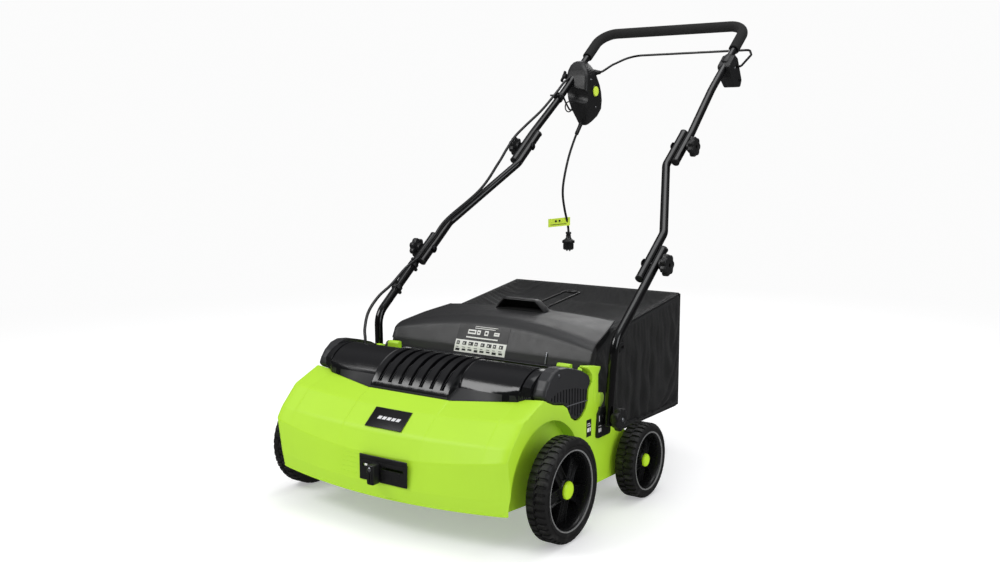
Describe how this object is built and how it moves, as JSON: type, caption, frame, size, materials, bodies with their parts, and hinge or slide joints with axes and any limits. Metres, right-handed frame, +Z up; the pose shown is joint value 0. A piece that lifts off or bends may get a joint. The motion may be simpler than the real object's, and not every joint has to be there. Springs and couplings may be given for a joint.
{
  "type": "lawn dethatcher",
  "caption": "Walk-behind corded electric lawn dethatcher: moulded deck over a spring-tine reel, louvred motor cover, rear flap, fabric collection bag, wheels and a folding tubular handle.",
  "frame": {"origin": "on the ground under the middle of the machine's outline", "axes": "+Z up; -Y is the nose of the machine and +Y its operator's end; +X is the side to the left of an operator who walks behind the machine facing -Y; the wheel axles run along X"},
  "size_m": [0.69, 1.3072, 1.0624],
  "materials": {
    "green_plastic": "satin moulded",
    "cover_plastic": "glossy moulded",
    "black_plastic": "fine textured",
    "badge_film": "smooth film",
    "tyre_plastic": "matt tread",
    "rim_plastic": "satin moulded",
    "painted_tube": "gloss powder coat",
    "grip_foam": "matt foam",
    "zinc_steel": "bright zinc",
    "motor_steel": "satin",
    "belt_rubber": "matt ribbed",
    "bag_fabric": "woven polyester",
    "cord_rubber": "satin",
    "reel_paint": "satin"
  },
  "bodies": {
    "chassis": {"deck_shell": "green_plastic", "motor_cover": "cover_plastic", "end_cover_left": "cover_plastic", "end_cover_right": "cover_plastic", "nose_badge": "badge_film", "depth_plate": "black_plastic", "rear_axle": "zinc_steel", "motor": "motor_steel", "drive_belt": "belt_rubber", "reel_bearing_left": "zinc_steel", "reel_bearing_right": "zinc_steel", "flap_pin": "zinc_steel", "motor_cable_lower": "cord_rubber"},
    "front_axle": {"front_axle": "zinc_steel"},
    "depth_lever": {"depth_lever": "black_plastic"},
    "rear_flap": {"rear_flap": "black_plastic"},
    "bag": {"collection_bag": "bag_fabric", "bag_handle": "black_plastic"},
    "motor_rotor": {"motor_pulley": "zinc_steel"},
    "tine_reel": {"tine_reel": "reel_paint", "reel_pulley": "black_plastic"},
    "lower_handle": {"lower_tube_left": "painted_tube", "lower_tube_right": "painted_tube", "body_bolt_left": "zinc_steel", "body_bolt_right": "zinc_steel", "lower_bolt_left": "zinc_steel", "lower_bolt_right": "zinc_steel"},
    "middle_handle": {"middle_tube_left": "painted_tube", "middle_tube_right": "painted_tube", "motor_cable_middle": "cord_rubber"},
    "upper_handle": {"upper_tube": "painted_tube", "foam_grip": "grip_foam", "upper_bolt_left": "zinc_steel", "upper_bolt_right": "zinc_steel", "switch_box": "black_plastic", "bail_bracket": "black_plastic", "motor_cable_upper": "cord_rubber", "cord_retainer": "black_plastic", "power_cord": "cord_rubber", "power_plug": "cord_rubber"},
    "bail": {"bail_lever": "cord_rubber"},
    "lock_button": {"lock_button": "green_plastic"},
    "front_wheel_left": {"front_tyre_left": "tyre_plastic", "front_rim_left": "rim_plastic", "front_hub_cap_left": "green_plastic"},
    "rear_wheel_left": {"rear_tyre_left": "tyre_plastic", "rear_rim_left": "rim_plastic", "rear_hub_cap_left": "green_plastic"},
    "body_knob_left": {"body_knob_left": "black_plastic"},
    "lower_knob_left": {"lower_knob_left": "black_plastic"},
    "upper_knob_left": {"upper_knob_left": "black_plastic"},
    "front_wheel_right": {"front_tyre_right": "tyre_plastic", "front_rim_right": "rim_plastic", "front_hub_cap_right": "green_plastic"},
    "rear_wheel_right": {"rear_tyre_right": "tyre_plastic", "rear_rim_right": "rim_plastic", "rear_hub_cap_right": "green_plastic"},
    "body_knob_right": {"body_knob_right": "black_plastic"},
    "lower_knob_right": {"lower_knob_right": "black_plastic"},
    "upper_knob_right": {"upper_knob_right": "black_plastic"}
  },
  "joints": [
    {"name": "front_axle_tilt", "type": "hinge", "parent": "chassis", "child": "front_axle", "pos_m": [0, -0.4056, 0.132], "axis": [1, 0, 0], "range_deg": [-16, 1]},
    {"name": "depth_lever_slide", "type": "slide", "parent": "chassis", "child": "depth_lever", "axis": [1, 0, 0], "range_m": [-0.004, 0.054]},
    {"name": "rear_flap_hinge", "type": "hinge", "parent": "chassis", "child": "rear_flap", "pos_m": [0, -0.2636, 0.28], "axis": [1, 0, 0], "range_deg": [0, 60]},
    {"name": "bag_slide", "type": "slide", "parent": "chassis", "child": "bag", "axis": [0, 1, 0], "range_m": [0, 0.25]},
    {"name": "reel_spin", "type": "hinge", "parent": "chassis", "child": "tine_reel", "pos_m": [0, -0.3106, 0.098], "axis": [1, 0, 0], "continuous": true},
    {"name": "motor_spin", "type": "hinge", "parent": "chassis", "child": "motor_rotor", "pos_m": [0, -0.4306, 0.2], "axis": [1, 0, 0], "continuous": true},
    {"name": "lower_handle_tilt", "type": "hinge", "parent": "chassis", "child": "lower_handle", "pos_m": [0, -0.2531, 0.19], "axis": [1, 0, 0], "range_deg": [0, 35]},
    {"name": "middle_handle_fold", "type": "hinge", "parent": "lower_handle", "child": "middle_handle", "pos_m": [0, -0.0686, 0.485], "axis": [1, 0, 0], "range_deg": [0, 130]},
    {"name": "upper_handle_fold", "type": "hinge", "parent": "middle_handle", "child": "upper_handle", "pos_m": [0, 0.24131, 0.73151], "axis": [-1, 0, 0], "range_deg": [-140, 0]},
    {"name": "bail_pull", "type": "hinge", "parent": "upper_handle", "child": "bail", "pos_m": [0, 0.5264, 0.934], "axis": [1, 0, 0], "range_deg": [0, 12], "stiffness_Nm_per_rad": 0.5, "springref_deg": -11.46},
    {"name": "lock_button_press", "type": "slide", "parent": "upper_handle", "child": "lock_button", "axis": [-1, 0, 0], "range_m": [0, 0.003], "stiffness_N_per_m": 400, "springref_m": -0.001},
    {"name": "front_wheel_left_spin", "type": "hinge", "parent": "front_axle", "child": "front_wheel_left", "pos_m": [-0.3217, -0.4606, 0.1], "axis": [1, 0, 0], "continuous": true},
    {"name": "rear_wheel_left_spin", "type": "hinge", "parent": "chassis", "child": "rear_wheel_left", "pos_m": [-0.3217, -0.143, 0.079], "axis": [1, 0, 0], "continuous": true},
    {"name": "front_wheel_right_spin", "type": "hinge", "parent": "front_axle", "child": "front_wheel_right", "pos_m": [0.3217, -0.4606, 0.1], "axis": [1, 0, 0], "continuous": true},
    {"name": "rear_wheel_right_spin", "type": "hinge", "parent": "chassis", "child": "rear_wheel_right", "pos_m": [0.3217, -0.143, 0.079], "axis": [1, 0, 0], "continuous": true},
    {"name": "body_knob_left_turn", "type": "hinge", "parent": "lower_handle", "child": "body_knob_left", "pos_m": [-0.314, -0.2531, 0.19], "axis": [1, 0, 0], "continuous": true},
    {"name": "lower_knob_left_turn", "type": "hinge", "parent": "lower_handle", "child": "lower_knob_left", "pos_m": [-0.322, -0.0686, 0.485], "axis": [1, 0, 0], "continuous": true},
    {"name": "upper_knob_left_turn", "type": "hinge", "parent": "upper_handle", "child": "upper_knob_left", "pos_m": [-0.238, 0.24131, 0.73151], "axis": [1, 0, 0], "continuous": true},
    {"name": "body_knob_right_turn", "type": "hinge", "parent": "lower_handle", "child": "body_knob_right", "pos_m": [0.314, -0.2531, 0.19], "axis": [1, 0, 0], "continuous": true},
    {"name": "lower_knob_right_turn", "type": "hinge", "parent": "lower_handle", "child": "lower_knob_right", "pos_m": [0.322, -0.0686, 0.485], "axis": [1, 0, 0], "continuous": true},
    {"name": "upper_knob_right_turn", "type": "hinge", "parent": "upper_handle", "child": "upper_knob_right", "pos_m": [0.238, 0.24131, 0.73151], "axis": [1, 0, 0], "continuous": true}
  ],
  "couplings": [
    {"joint": "motor_spin", "follows": "reel_spin", "ratio": 2.7273},
    {"joint": "depth_lever_slide", "follows": "front_axle_tilt", "m_per_rad": -0.18}
  ]
}
